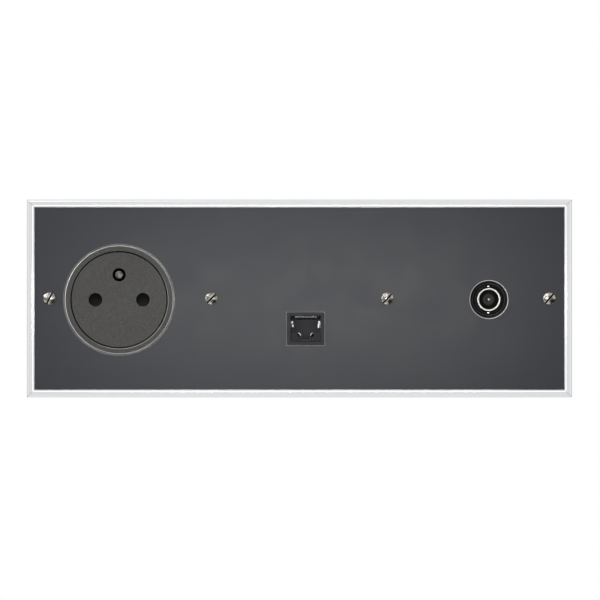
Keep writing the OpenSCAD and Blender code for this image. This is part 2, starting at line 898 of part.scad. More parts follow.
module data_idc() {
    slot = 0.7;
    back = board_back - idc_d;
    color("whitesmoke") at_data()
        difference() {
            block(bezel_w, bezel_h + 2, back, board_back);
            block(5, bezel_h + 3, back - cut, back + 6);
            for (i = [0:3])
                translate([0, (i - 1.5) * 3.2, 0]) block(bezel_w + cut, slot, back - cut, back + 5);
        }
}

module data_wire_cap() {
    back = board_back - idc_d;
    color("gray") at_data()
        difference() {
            rounded_block(bezel_w, bezel_h + 2, 1.5, back - cap_t, back);
            translate([0, 0, back - cap_t - cut]) cylinder(r = 2.8, h = cap_t + 2 * cut);
        }
}

// Coax jack

module coax_cup() {
    outer = cup_r + cup_wall;
    middle = cup_floor_r + cup_step;
    color("black") at_coax()
        difference() {
            union() {
                rotate_extrude()
                    polygon([
                        [thread_r + slip, cup_back], [outer, cup_back], [outer, panel_back],
                        [cup_r, panel_back], [cup_r, first_step], [middle, first_step],
                        [middle, second_step], [cup_floor_r, second_step], [cup_floor_r, cup_floor],
                        [thread_r + slip, cup_floor]
                    ]);
                difference() {
                    rounded_block(coax_flange_w, coax_flange_h, 3, flange_back, lip_t);
                    rod(cup_r + cup_wall / 2, flange_back - cut, lip_t + cut);
                }
            }
            for (side = [-1, 1])
                translate([0, side * coax_stud, 0]) rod(stud_d / 2 + slip, flange_back - cut, lip_t + cut);
        }
}

module coax_body() {
    lead = 0.15;
    shoulder_r = cup_floor_r - 0.1;
    shaft_r = barrel_r - barrel_relief;
    color("gainsboro") at_coax() {
        rotate_extrude()
            polygon([
                [insulator_r, coax_end], [thread_r, coax_end], [thread_r, cup_floor],
                [shoulder_r, cup_floor], [shoulder_r, body_base],
                [shaft_r, body_base], [shaft_r, nose_back], [barrel_r, nose_back],
                [barrel_r, coax_tip - lead], [barrel_r - lead, coax_tip],
                [barrel_in + lead, coax_tip], [barrel_in, coax_tip - lead],
                [barrel_in, body_base], [insulator_r, body_base]
            ]);
        for (side = [-90, 90])
            rotate(side) translate([0, 0, coax_tip - lug_back])
                rotate([0, 90, 0]) rod(lug_d / 2, barrel_in + 0.3, lug_span / 2);
    }
}

module coax_insulator() {
    color("white") at_coax()
        difference() {
            union() {
                rod(insulator_r, coax_end - 0.6, body_base);
                rod(barrel_in, body_base, body_base + 1.6);
                rod(boss_d / 2, body_base, boss_top);
            }
            rod(centre_d / 2, coax_end - cut, boss_top + cut);
        }
}

module coax_contact() {
    color("gold") at_coax()
        difference() {
            rod(centre_d / 2, coax_end - 3.5, boss_top);
            rod(centre_d / 2 - 0.25, boss_top - 4.5, boss_top + cut);
            translate([0, 0, coax_end - 2]) block(centre_d + cut, 0.5, -2, 0.6);
        }
}

module coax_washer() {
    color("silver") at_coax()
        tube(thread_r + 1.9, thread_r + thread_gap, cup_back - washer_t, cup_back);
}

module coax_tag() {
    top = cup_back - washer_t;
    color("silver") at_coax()
        difference() {
            union() {
                rod(thread_r + 1.5, top - tag_t, top);
                span(-1.8, 1.8, 0, tag_reach, top - tag_t, top);
            }
            rod(thread_r + thread_gap, top - tag_t - cut, top + cut);
            translate([0, tag_reach - 2, 0]) rod(0.9, top - tag_t - cut, top + cut);
        }
}

module coax_nut() {
    top = cup_back - washer_t - tag_t;
    color("silver") at_coax()
        hex_nut(lock_nut_flats, thread_r + thread_gap, top - lock_nut_h, top);
}

trim_frame();
backing_plate();
face_panel();
plate_screw(0);  // plate_screw_1
plate_screw(1);  // plate_screw_2
plate_screw(2);  // plate_screw_3
plate_screw(3);  // plate_screw_4
socket_collar();
socket_disc();
shutter_tray();
socket_shutter();
shutter_spring();
disc_spring();
earth_pin();
live_contact(-1);  // live_contact_left
live_contact(1);  // live_contact_right
socket_housing();
socket_cover();
cover_screw();
socket_bridge();
socket_rivet(rivet_turns[1]);  // socket_rivet_left
socket_rivet(rivet_turns[0]);  // socket_rivet_right
bridge_nut(stud_turns[0]);  // socket_nut_upper
bridge_nut(stud_turns[1]);  // socket_nut_lower
terminal(0);  // terminal_left
terminal(1);  // terminal_right
terminal(2);  // terminal_earth
terminal_screw(0);  // terminal_screw_left
terminal_screw(1);  // terminal_screw_right
terminal_screw(2);  // terminal_screw_earth
data_bezel();
data_shield();
data_insert();
data_comb();
data_latch_clip();
data_contact(1);  // data_contact_1
data_contact(2);  // data_contact_2
data_contact(3);  // data_contact_3
data_contact(4);  // data_contact_4
data_contact(5);  // data_contact_5
data_contact(6);  // data_contact_6
data_contact(7);  // data_contact_7
data_contact(8);  // data_contact_8
data_board();
data_idc();
data_wire_cap();
at_data() stud_nut(1, data_stud, flange_back);  // data_nut_upper
at_data() stud_nut(-1, data_stud, flange_back);  // data_nut_lower
coax_cup();
coax_body();
coax_insulator();
coax_contact();
coax_washer();
coax_tag();
coax_nut();
at_coax() stud_nut(1, coax_stud, flange_back);  // coax_stud_nut_upper
at_coax() stud_nut(-1, coax_stud, flange_back);  // coax_stud_nut_lower
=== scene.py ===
"""Looks of a multimedia wall socket: surfaces, threads, light and camera round the fixed frame."""

import json
import math

import bmesh
import bpy
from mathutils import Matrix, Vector

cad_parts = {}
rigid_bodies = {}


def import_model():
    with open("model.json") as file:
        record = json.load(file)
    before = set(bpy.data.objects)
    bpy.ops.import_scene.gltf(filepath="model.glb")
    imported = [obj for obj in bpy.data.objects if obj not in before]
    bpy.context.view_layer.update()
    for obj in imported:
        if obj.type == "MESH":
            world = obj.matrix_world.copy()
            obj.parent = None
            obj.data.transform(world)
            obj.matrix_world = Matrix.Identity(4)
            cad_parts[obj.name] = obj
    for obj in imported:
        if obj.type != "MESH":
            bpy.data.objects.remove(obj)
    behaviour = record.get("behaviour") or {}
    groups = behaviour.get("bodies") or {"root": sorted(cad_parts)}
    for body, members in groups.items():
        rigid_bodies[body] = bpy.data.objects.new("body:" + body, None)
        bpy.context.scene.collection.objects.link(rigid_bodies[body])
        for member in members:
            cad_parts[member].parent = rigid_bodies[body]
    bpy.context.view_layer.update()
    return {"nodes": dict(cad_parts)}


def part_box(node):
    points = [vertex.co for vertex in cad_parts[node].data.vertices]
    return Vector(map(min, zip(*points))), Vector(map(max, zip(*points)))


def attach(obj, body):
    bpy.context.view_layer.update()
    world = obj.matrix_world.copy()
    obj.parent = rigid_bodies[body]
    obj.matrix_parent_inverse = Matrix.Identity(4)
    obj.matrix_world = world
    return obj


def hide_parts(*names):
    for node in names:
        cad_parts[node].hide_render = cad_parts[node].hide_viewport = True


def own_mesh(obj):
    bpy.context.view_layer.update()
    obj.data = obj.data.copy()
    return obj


MM = 0.001

# Camera: 240 mm wide at the plate, seen square on from far away
LENS = 600
SENSOR = 36
FRAME_WIDTH = 0.240
PLATE_Y = -4.3 * MM
AIM_X = 0.24 * MM
AIM_Z = -0.6 * MM

# Light
FLOOR_Z = -0.16
FLOOR_HALF = 1.0
AMBIENT = 0.42
GLOSS_FRONT = 0.86
GLOSS_SIDE = 1.45
GLOSS_EDGE = 0.16
GLOSS_BACK = 0.85

# Frame section in mm, as in the solids: band, bevel, rounded edge and the lip behind the plate
FRAME_BAND = 2.7
FRAME_BEVEL = 0.5
BEVEL_DROP = 0.38
FRAME_ROUND = 0.8
LIP_W = 3
LIP_T = 0.8
MITRE_GAP = 0.015

# Fixing screws in mm, and how their slots were left, in degrees
PANEL_FRONT = 4.3
HEAD_RIM = 0.5
HEAD_DOME = 0.7
SLOT_DEPTH = 0.7
SLOT_HALF = 0.3
SLOT_ANGLES = (62, 43, 47, 49)
CORE_R = 1.28
THREAD_R = 1.5
COIL_STEPS = 28
COIL_SIDES = 10
CLOSED_PITCH = 1.05
DISC_TURNS = 8
DISC_WIRE = 0.9
SHUTTER_TURNS = 11
SHUTTER_WIRE = 0.3

# Data jack in mm
PORT_HALF = 5.95
SHEET = 0.25
WIRE_PITCH = 1.02
TOOTH_H = 0.75
CLIP_LEG = 2.0
CLIP_T = 0.25


def level(*rgb):
    """Linear colour of an 8-bit sRGB level, or of three."""
    rgb = rgb * 3 if len(rgb) == 1 else rgb
    linear = [(c / 255 / 12.92) if c <= 10 else ((c / 255 + 0.055) / 1.055) ** 2.4 for c in rgb]
    return (*linear, 1.0)


# Node building


class Tree:
    """Short calls for the nodes of one material or world."""

    def __init__(self, owner):
        owner.use_nodes = True
        self.tree = owner.node_tree
        self.nodes = self.tree.nodes

    def add(self, kind, inputs=None, **values):
        node = self.nodes.new("ShaderNode" + kind)
        for key, value in values.items():
            setattr(node, key, value)
        for key, value in (inputs or {}).items():
            if isinstance(value, bpy.types.NodeSocket):
                self.tree.links.new(value, node.inputs[key])
            else:
                node.inputs[key].default_value = value
        return node

    def link(self, source, target):
        self.tree.links.new(source, target)

    def math(self, operation, a, b=0.0, clamp=False):
        node = self.add("Math", {0: a, 1: b}, operation=operation, use_clamp=clamp)
        return node.outputs[0]

    def ramp(self, value, low, high, to_low=0.0, to_high=1.0, smooth=False):
        kind = "SMOOTHSTEP" if smooth else "LINEAR"
        return self.add(
            "MapRange",
            {"Value": value, "From Min": low, "From Max": high, "To Min": to_low, "To Max": to_high},
            interpolation_type=kind,
        ).outputs[0]

    def mix(self, factor, a, b):
        node = self.add("Mix", {"Factor": factor}, data_type="RGBA")
        for index, value in ((6, a), (7, b)):
            if isinstance(value, bpy.types.NodeSocket):
                self.link(value, node.inputs[index])
            else:
                node.inputs[index].default_value = value
        return node.outputs[2]


class Surface(Tree):
    """A Principled material whose patterns are laid out in millimetres on the object."""

    def __init__(self, name, color, roughness, metallic=0.0, **sockets):
        self.material = bpy.data.materials.new(name)
        super().__init__(self.material)
        self.shader = self.nodes["Principled BSDF"]
        self.color = color
        self.roughness = roughness
        sockets = {"Base Color": color, "Roughness": roughness, "Metallic": metallic, **sockets}
        for key, value in sockets.items():
            self.shader.inputs[key].default_value = value
        self.material.diffuse_color = color
        where = self.add("TexCoord").outputs["Object"]
        self.place = self.add("Mapping", {"Vector": where, "Scale": (1000, 1000, 1000)}).outputs[0]
        self.height = None

    def noise(self, scale, stretch=(1, 1, 1), detail=3.0, roughness=0.5, offset=0.0):
        """Noise with about `scale` features a millimetre, drawn out where stretch is small."""
        vector = self.place
        if stretch != (1, 1, 1) or offset:
            vector = self.add(
                "Mapping", {"Vector": vector, "Scale": stretch, "Location": (offset, offset, offset)}
            ).outputs[0]
        node = self.add(
            "TexNoise",
            {"Vector": vector, "Scale": scale, "Detail": detail, "Roughness": roughness},
        )
        return node.outputs[0]

    def tint(self, factor, dark, light):
        """Base colour between two multiples of the material's own colour."""
        a = (*[c * dark for c in self.color[:3]], 1)
        b = (*[min(1, c * light) for c in self.color[:3]], 1)
        self.paint(self.mix(factor, a, b))

    def paint(self, output):
        self.link(output, self.shader.inputs["Base Color"])
        self.base = output

    def gloss(self, factor, spread):
        """Roughness that wanders by spread round the material's own."""
        low, high = max(0.02, self.roughness - spread), min(1, self.roughness + spread)
        self.link(self.ramp(factor, 0.25, 0.75, low, high), self.shader.inputs["Roughness"])

    def relief(self, height, depth_mm, strength=1.0):
        """Bump of that depth, added to what the material already has."""
        inputs = {"Height": height, "Distance": depth_mm * MM, "Strength": strength}
        if self.height:
            inputs["Normal"] = self.height
        self.height = self.add("Bump", inputs).outputs[0]
        self.link(self.height, self.shader.inputs["Normal"])

    def axis(self, name):
        parts = self.add("SeparateXYZ", {"Vector": self.place}).outputs
        return parts["XYZ".index(name)]

    def chamfers(self):
        """1 on faces that look forward at a slant, such as chamfers and bevels round the front."""
        normal = self.add("NewGeometry").outputs["Normal"]
        slope = self.math("MULTIPLY", self.add("SeparateXYZ", {"Vector": normal}).outputs["Y"], -1)
        steep = self.ramp(slope, 0.35, 0.55, smooth=True)
        return self.math("MULTIPLY", steep, self.ramp(slope, 0.97, 0.90, smooth=True))

    def ring(self, x, z, radius, half_width):
        """1 on a band of that half width round the line along Y through x, z."""
        off = self.math("ABSOLUTE", self.math("SUBTRACT", self.radius_from(x, z), radius))
        return self.ramp(off, half_width + 0.02, half_width - 0.02)

    def radius_from(self, x, z):
        """Distance in mm from the line along Y through x, z."""
        dx = self.math("SUBTRACT", self.axis("X"), x)
        dz = self.math("SUBTRACT", self.axis("Z"), z)
        return self.math(
            "SQRT", self.math("ADD", self.math("MULTIPLY", dx, dx), self.math("MULTIPLY", dz, dz))
        )


# Materials


def panel_satin():
    """Dark satin face, with painted highlights on the chamfers where its edges turn away, painted shadows
    round the screws and painted shade in the gap round the collar and on the cut-out walls.
    """
    s = Surface("panel_satin", level(28, 28, 33), 0.38, **{"Specular IOR Level": 0.4})
    mottle = s.noise(0.12, detail=4)
    fine = s.noise(4.0, detail=2)
    # painted highlight: faces that slant forward, such as chamfers, get a light colour
    edge = s.chamfers()
    body = s.mix(mottle, level(24, 25, 32), level(27, 29, 37))
    # painted shadow: a dark ring round each screw head, set off to the lower right
    for number in range(1, 5):
        x, z = centre_mm(f"plate_screw_{number}")
        painted_screw_shadow = s.ramp(s.radius_from(x + 0.12, z - 0.12), 3.0, 2.5, smooth=True)
        body = s.mix(s.math("MULTIPLY", painted_screw_shadow, 0.85), body, level(8))
    # painted highlight on the chamfers, lighter still round the coax hole
    coax = s.ramp(s.radius_from(*centre_mm("coax_body")), 9, 8.5)
    painted = s.mix(edge, body, s.mix(coax, level(168, 169, 172), level(225)))
    # painted shade: near black in the gap round the collar and on everything more than 0.3 mm behind the
    # front, such as the cut-out walls
    gap = s.ring(*centre_mm("socket_collar"), collar_radius() + 0.1, 0.13)
    painted_recess_shade = s.ramp(s.axis("Y"), -PANEL_FRONT + 0.28, -PANEL_FRONT + 0.32)
    s.paint(s.mix(s.math("MAXIMUM", gap, painted_recess_shade), painted, level(4)))
    s.gloss(mottle, 0.03)
    s.relief(fine, 0.003, 0.3)
    return s.material


def chrome():
    """Polished frame, with a fine dark joint along each mitre."""
    s = Surface("chrome", level(232, 233, 236), 0.10, 1.0)
    haze = s.noise(0.25, detail=3)
    low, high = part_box("trim_frame")
    across = s.math("SUBTRACT", s.math("ABSOLUTE", s.axis("X")), s.math("ABSOLUTE", s.axis("Z")))
    joint = s.math("ABSOLUTE", s.math("SUBTRACT", across, (high.x - high.z) / MM))
    seam = s.ramp(joint, 0.09, 0.03, smooth=True)
    s.paint(s.mix(seam, s.mix(haze, level(231, 232, 234), level(235, 236, 238)), level(80)))
    s.gloss(s.noise(0.04, detail=1), 0.01)
    return s.material


def nickel(name="nickel", color=level(222, 218, 210)):
    """Bright turned screws and connector bodies."""
    s = Surface(name, color, 0.16, 1.0)
    haze = s.noise(1.6, detail=4)
    s.tint(haze, 0.94, 1.05)
    s.gloss(haze, 0.04)
    s.relief(s.noise(6, detail=2), 0.001, 0.2)
    return s


def slotted_nickel(name, x, z, angle):
    """Nickel screw, stained and scratched by use, its slot painted near black as shade."""
    s = Surface(name, level(184, 181, 175), 0.22, 1.0)
    stain = s.ramp(s.noise(0.9, detail=5, roughness=0.65), 0.40, 0.62, smooth=True)
    scratch = s.noise(3.0, stretch=(1, 1, 0.25), detail=3)
    wear_and_highlight = s.mix(stain, level(104, 100, 94), level(188, 185, 179))
    s.paint(s.mix(s.ramp(scratch, 0.60, 0.70), wear_and_highlight, level(132, 128, 122)))
    s.gloss(scratch, 0.06)
    s.relief(stain, 0.01, 0.5)
    turn = math.radians(angle)
    dx = s.math("SUBTRACT", s.axis("X"), x)
    dz = s.math("SUBTRACT", s.axis("Z"), z)
    across = s.math(
        "SUBTRACT", s.math("MULTIPLY", dz, math.cos(turn)), s.math("MULTIPLY", dx, math.sin(turn))
    )
    sawn = s.ramp(s.axis("Y"), -PANEL_FRONT, -PANEL_FRONT - 0.1)
    # painted shade: the slot across the head is painted near black and made rough
    painted_slot_shade = s.math("MULTIPLY", sawn, s.ramp(s.math("ABSOLUTE", across), SLOT_HALF + 0.06, SLOT_HALF + 0.02))
    s.paint(s.mix(painted_slot_shade, s.base, level(9, 9, 8)))
    s.link(s.ramp(painted_slot_shade, 0, 1, 0.24, 0.7), s.shader.inputs["Roughness"])
    return s.material


def graphite():
    """Warm dark plastic full of fine metallic grain, with painted highlights on its moulded edges and
    painted shade in the groove round the disc and the gap round the collar.
    """
    s = Surface("graphite", level(50, 49, 46), 0.5, **{"Specular IOR Level": 0.4})
    grain = s.noise(1.5, detail=3, roughness=0.65)
    flake = s.noise(3.2, detail=1, offset=40)
    spark = s.ramp(flake, 0.62, 0.74, smooth=True)
    cloud = s.noise(0.08, detail=3)
    body = s.mix(s.ramp(grain, 0.3, 0.7), level(37, 36, 34), level(60, 59, 55))
    body = s.mix(s.math("MULTIPLY", spark, 0.7), body, level(98, 96, 91))
    # painted highlight: faces that slant forward, such as chamfers, are painted near white
    body = s.mix(s.chamfers(), body, level(215, 214, 210))
    place = centre_mm("socket_collar")
    # painted shade: near black in the groove round the disc and in the gap at the collar's outer edge
    painted_groove_shade = s.ring(*place, disc_radius() + 0.12, 0.33)
    edge = s.ring(*place, collar_radius(), 0.16)
    # painted highlight: a light band just outside the groove, on its lower-right side only
    lit = s.math("SUBTRACT", s.axis("X"), s.axis("Z"))
    lit = s.ramp(lit, place[0] - place[1], place[0] - place[1] + 20, smooth=True)
    painted_highlight_mask = s.math("MULTIPLY", s.ring(*place, disc_radius() + 0.55, 0.1), lit)
    body = s.mix(painted_highlight_mask, body, level(150, 149, 145))
    s.paint(s.mix(s.math("MAXIMUM", painted_groove_shade, edge), body, level(3)))
    s.gloss(cloud, 0.04)
    s.relief(grain, 0.02, 0.5)
    return s.material


def plastic(name, color, roughness=0.5, grain=0.006, scale=3.0, shine=0.5):
    """Moulded plastic with a fine spark-eroded skin."""
    s = Surface(name, color, roughness, **{"Specular IOR Level": shine})
    cloud = s.noise(0.25, detail=3)
    s.tint(cloud, 0.92, 1.07)
    s.gloss(cloud, 0.05)
    s.relief(s.noise(scale, detail=2), grain, 0.5)
    return s.material


def metal(name, color, roughness, stretch=(1, 1, 1), grain=0.003, scale=4.0):
    """Bare metal with its drawn or brushed grain."""
    s = Surface(name, color, roughness, 1.0)
    lines = s.noise(scale, stretch=stretch, detail=4)
    cloud = s.noise(0.2, detail=3)
    s.tint(cloud, 0.9, 1.08)
    s.gloss(lines, 0.07)
    s.relief(lines, grain, 0.4)
    return s.material


def pin_plating(x, z):
    """Earth pin: dull plating, its flat tip scuffed by plugs."""
    s = Surface("pin", level(130, 128, 122), 0.3, 1.0)
    tip = s.ramp(s.radius_from(x, z), 1.6, 1.4, smooth=True)
    speck = s.ramp(s.noise(1.6, detail=5, roughness=0.75), 0.38, 0.62)
    wear_and_highlight = s.mix(speck, level(10, 10, 9), level(126, 124, 119))
    s.paint(s.mix(tip, level(44, 43, 41), wear_and_highlight))
    s.link(s.ramp(tip, 0, 1, 0.3, 0.45), s.shader.inputs["Roughness"])
    s.relief(s.noise(3, detail=3), 0.02, 0.6)
    return s.material


def cup_plastic(x, z):
    """Black cup, with patchy painted highlights on the edges of its two steps."""
    s = Surface("cup_plastic", level(9, 9, 9), 0.5, **{"Specular IOR Level": 0.35})
    cloud = s.noise(0.6, detail=3)
    # painted highlight: patchy light rings on the edges of the two steps
    edges = s.math("MAXIMUM", s.ring(x, z, 6.38, 0.12), s.ring(x, z, 5.45, 0.1))
    body = s.mix(cloud, level(7, 7, 7), level(12, 12, 11))
    s.paint(s.mix(s.math("MULTIPLY", edges, s.ramp(cloud, 0.3, 0.6)), body, level(120)))
    s.relief(s.noise(3, detail=2), 0.006, 0.5)
    return s.material


def barrel_nickel(x, z):
    """Nickel of the coax jack, its rim bright and everything beside it painted dark as shade."""
    s = Surface("barrel_nickel", level(164, 163, 160), 0.34, 1.0)
    s.tint(s.noise(1.6, detail=4), 0.92, 1.06)
    # painted shade: all but the rim band is painted dark
    rim = s.ring(x, z, 4.26, 0.3)
    s.paint(s.mix(rim, level(52, 51, 50), s.base))
    s.relief(s.noise(6, detail=2), 0.001, 0.2)
    return s.material


def centre_pin(x, z):
    """Centre contact of the coax jack: a painted highlight on a small disc at its centre, the rest painted
    dark as shade.
    """
    s = Surface("centre_pin", level(120), 0.35, 1.0)
    # painted highlight: only a small disc at the centre gets a light colour; the rest is painted dark as
    # shade
    painted_highlight_mask = s.ramp(s.radius_from(x, z), 0.5, 0.36, smooth=True)
    wear_and_highlight = s.mix(s.noise(3, detail=3), level(150, 149, 144), level(196, 195, 190))
    s.paint(s.mix(painted_highlight_mask, level(36, 36, 34), wear_and_highlight))
    s.relief(s.noise(5, detail=2), 0.004, 0.4)
    return s.material


def jack_plastic():
    """Insert of the data jack: its blocks in front darker than the wall that the wires leave."""
    s = Surface("jack_plastic", level(20, 21, 27), 0.5, **{"Specular IOR Level": 0.25})
    cloud = s.noise(0.5, detail=3)
    deep = s.ramp(s.axis("Y"), 2, 6)
    front = s.mix(cloud, level(13, 14, 20), level(17, 18, 24))
    s.paint(s.mix(deep, front, s.mix(cloud, level(52, 53, 60), level(60, 61, 68))))
    s.relief(s.noise(3, detail=2), 0.006, 0.5)
    return s.material


def clip_steel(fold):
    """Sprung clip: bright where its legs roll outward, dull with shade below that height."""
    s = Surface("clip_steel", level(150), 0.32, 1.0)
    lines = s.noise(4.0, stretch=(1, 0.1, 1), detail=4)
    rolled = s.ramp(s.axis("Z"), fold - 0.2, fold + 0.1, smooth=True)
    s.paint(s.mix(rolled, level(44, 45, 50), s.mix(lines, level(126), level(164))))
    s.relief(lines, 0.003, 0.4)
    return s.material


def circuit_board():
    s = Surface("circuit_board", level(24, 84, 44), 0.32)
    tracks = s.noise(0.9, stretch=(1, 1, 0.2), detail=1)
    s.paint(s.mix(s.ramp(tracks, 0.5, 0.54), level(22, 78, 40), level(40, 108, 58)))
    s.relief(tracks, 0.03, 0.3)
    return s.material


# Shaping


def soften(obj, width_mm):
    """Rounds a CAD node's sharp edges a little, as moulding and plating do."""
    weld = obj.modifiers.new("weld", "WELD")
    weld.merge_threshold = 1e-6
    if width_mm:
        bevel = obj.modifiers.new("edges", "BEVEL")
        bevel.width = width_mm * MM
        bevel.segments = 2
        bevel.limit_method = "ANGLE"
        bevel.angle_limit = math.radians(32)
        bevel.use_clamp_overlap = True
        bevel.harden_normals = False
    smooth = obj.modifiers.new("smooth", "NODES")
    smooth.node_group = smooth_group()
    normals = obj.modifiers.new("normals", "WEIGHTED_NORMAL")
    normals.weight = 50
    normals.keep_sharp = True


def smooth_group():
    """Geometry nodes: smooth faces, but sharp where two meet at more than 32 degrees."""
    name = "smooth_by_angle"
    if name in bpy.data.node_groups:
        return bpy.data.node_groups[name]
    group = bpy.data.node_groups.new(name, "GeometryNodeTree")
    group.interface.new_socket("Geometry", in_out="INPUT", socket_type="NodeSocketGeometry")
    group.interface.new_socket("Geometry", in_out="OUTPUT", socket_type="NodeSocketGeometry")
    start = group.nodes.new("NodeGroupInput")
    end = group.nodes.new("NodeGroupOutput")
    faces = group.nodes.new("GeometryNodeSetShadeSmooth")
    edges = group.nodes.new("GeometryNodeSetShadeSmooth")
    edges.domain = "EDGE"
    edges.inputs["Shade Smooth"].default_value = False
    angle = group.nodes.new("GeometryNodeInputMeshEdgeAngle")
    compare = group.nodes.new("FunctionNodeCompare")
    compare.operation = "GREATER_THAN"
    compare.inputs[1].default_value = math.radians(32)
    link = group.links.new
    link(start.outputs[0], faces.inputs["Geometry"])
    link(faces.outputs[0], edges.inputs["Geometry"])
    link(angle.outputs["Unsigned Angle"], compare.inputs[0])
    link(compare.outputs[0], edges.inputs["Selection"])
    link(edges.outputs[0], end.inputs[0])
    return group


def new_piece(name, mesh, material, body="base"):
    piece = bpy.data.objects.new(name, mesh)
    bpy.context.scene.collection.objects.link(piece)
    mesh.materials.append(material)
    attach(piece, body)
    return piece


def at(x, up, out):
    """A point in metres from mm to the right, up, and out of the wall."""
    return Vector((x, -out, up)) * MM


class Form:
    """A mesh put together from lofted sections."""

    def __init__(self):
        self.mesh = bmesh.new()

    def loft(self, rings):
        """Joins rings of points, one after the other, and closes both ends."""
        rows = [[self.mesh.verts.new(point) for point in ring] for ring in rings]
        count = len(rows[0])
        for a, b in zip(rows, rows[1:]):
            for k in range(count):
                self.mesh.faces.new((a[k], a[(k + 1) % count], b[(k + 1) % count], b[k]))
        self.mesh.faces.new(rows[0][::-1])
        self.mesh.faces.new(rows[-1])

    def turned(self, centre, outline, steps=72):
        """Solid of revolution: (radius, out) points from its back to its front."""
        turns = [2 * math.pi * i / steps for i in range(steps)]
        self.loft([
            [at(centre[0] + r * math.cos(a), centre[1] + r * math.sin(a), out) for a in turns]
            for r, out in outline
        ])

    def box(self, x, up, out):
        """Block between pairs of values."""
        self.loft([[at(x[i], up[j], level) for i, j in ((0, 0), (1, 0), (1, 1), (0, 1))] for level in out])

    def piece(self, name, material, slot, *replaced, width=0.0, body="base"):
        """The finished piece, its edges rounded by that width, in place of the nodes named."""
        bmesh.ops.recalc_face_normals(self.mesh, faces=self.mesh.faces)
        mesh = bpy.data.meshes.new(name)
        self.mesh.to_mesh(mesh)
        self.mesh.free()
        made = new_piece(name, mesh, material, body)
        if replaced:
            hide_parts(*replaced)
        soften(made, width)
        return made


def arc(centre, radius, start, end, steps):
    """Points on an arc, its angles in degrees."""
    turns = [math.radians(start + (end - start) * i / steps) for i in range(steps + 1)]
    return [(centre[0] + radius * math.cos(a), centre[1] + radius * math.sin(a)) for a in turns]


def ribbon(path, thick):
    """Closed outline of a strip of that thickness laid along a path."""
    left, right = [], []
    for i, (x, y) in enumerate(path):
        before, after = path[max(i - 1, 0)], path[min(i + 1, len(path) - 1)]
        along = Vector((after[0] - before[0], after[1] - before[1])).normalized()
        left.append((x - along.y * thick / 2, y + along.x * thick / 2))
        right.append((x + along.y * thick / 2, y - along.x * thick / 2))
    return left + right[::-1]


# Pieces


def polished_frame(material):
    """Four mitred bars: rounded outer edge, flat band, bevel down to the plate, lip behind it."""
    low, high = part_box("trim_frame")
    half_w, half_h, crest = high.x / MM, high.z / MM, -low.y / MM
    corner = arc((FRAME_ROUND, crest - FRAME_ROUND), FRAME_ROUND, 180, 90, 10)
    section = [(0, 0.1), *corner, (FRAME_BAND - FRAME_BEVEL, crest), (FRAME_BAND, crest - BEVEL_DROP)]
    section += [(FRAME_BAND, LIP_T), (FRAME_BAND + LIP_W, LIP_T), (FRAME_BAND + LIP_W, 0), (0.1, 0)]
    corners = ((-1, -1), (1, -1), (1, 1), (-1, 1))
    form = Form()
    for start, end in zip(corners, corners[1:] + corners[:1]):
        run = ((end[0] - start[0]) / 2, (end[1] - start[1]) / 2)
        form.loft([
            [
                at(c[0] * (half_w - d) + run[0] * gap, c[1] * (half_h - d) + run[1] * gap, out)
                for d, out in section
            ]
            for c, gap in ((start, MITRE_GAP), (end, -MITRE_GAP))
        ])
    form.piece("polished_frame", material, "chrome", "trim_frame", width=0.05)


def fixing_screw(number, material):
    """Round-headed screw with a sawn slot, a threaded shank and a chamfered end."""
    node = f"plate_screw_{number}"
    low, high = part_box(node)
    x, z = centre_mm(node)
    head_r = (high.x - low.x) / 2 / MM
    crest = PANEL_FRONT + HEAD_RIM + HEAD_DOME
    dome_r = (head_r ** 2 + HEAD_DOME ** 2) / (2 * HEAD_DOME)
    radii = [head_r * (1 - i / 16) for i in range(1, 16)] + [0.05]
    dome = [(r, crest - dome_r + math.sqrt(dome_r ** 2 - r ** 2)) for r in radii]
    end = -high.y / MM
    rim = PANEL_FRONT + HEAD_RIM
    form = Form()
    form.turned((x, z), [
        (CORE_R - 0.4, end), (CORE_R, end + 0.4), (CORE_R, PANEL_FRONT), (head_r - 0.08, PANEL_FRONT),
        (head_r, PANEL_FRONT + 0.08), (head_r, rim - 0.1), (head_r - 0.04, rim), *dome,
    ])
    screw = form.piece(f"fixing_screw_{number}", material, "nickel", node)
    saw_slot(screw, x, z, SLOT_ANGLES[number - 1], crest)
    thread(
        f"screw_thread_{number}", (x, z), CORE_R - 0.02, THREAD_R, -end - 0.5, 0.5, 0.5, material,
    )


def saw_slot(screw, x, z, angle, crest):
    """Cuts the slot out of a screw's head, before its edges are smoothed."""
    turn = math.radians(angle)
    along, across = (math.cos(turn), math.sin(turn)), (-math.sin(turn), math.cos(turn))
    blade = Form()
    blade.loft([
        [
            at(x + 3 * a * along[0] + SLOT_HALF * b * across[0],
               z + 3 * a * along[1] + SLOT_HALF * b * across[1], out)
            for a, b in ((-1, -1), (1, -1), (1, 1), (-1, 1))
        ]
        for out in (crest - SLOT_DEPTH, crest + 1)
    ])
    mesh = bpy.data.meshes.new("blade")
    bmesh.ops.recalc_face_normals(blade.mesh, faces=blade.mesh.faces)
    blade.mesh.to_mesh(mesh)
    blade.mesh.free()
    cutter = bpy.data.objects.new("blade", mesh)
    bpy.context.scene.collection.objects.link(cutter)
    modifiers = screw.modifiers
    modifiers.clear()
    cut = modifiers.new("slot", "BOOLEAN")
    cut.object = cutter
    cut.solver = "EXACT"
    sawn = screw.evaluated_get(bpy.context.evaluated_depsgraph_get())
    screw.data = bpy.data.meshes.new_from_object(sawn)
    modifiers.clear()
    bpy.data.objects.remove(cutter)
    soften(screw, 0.05)


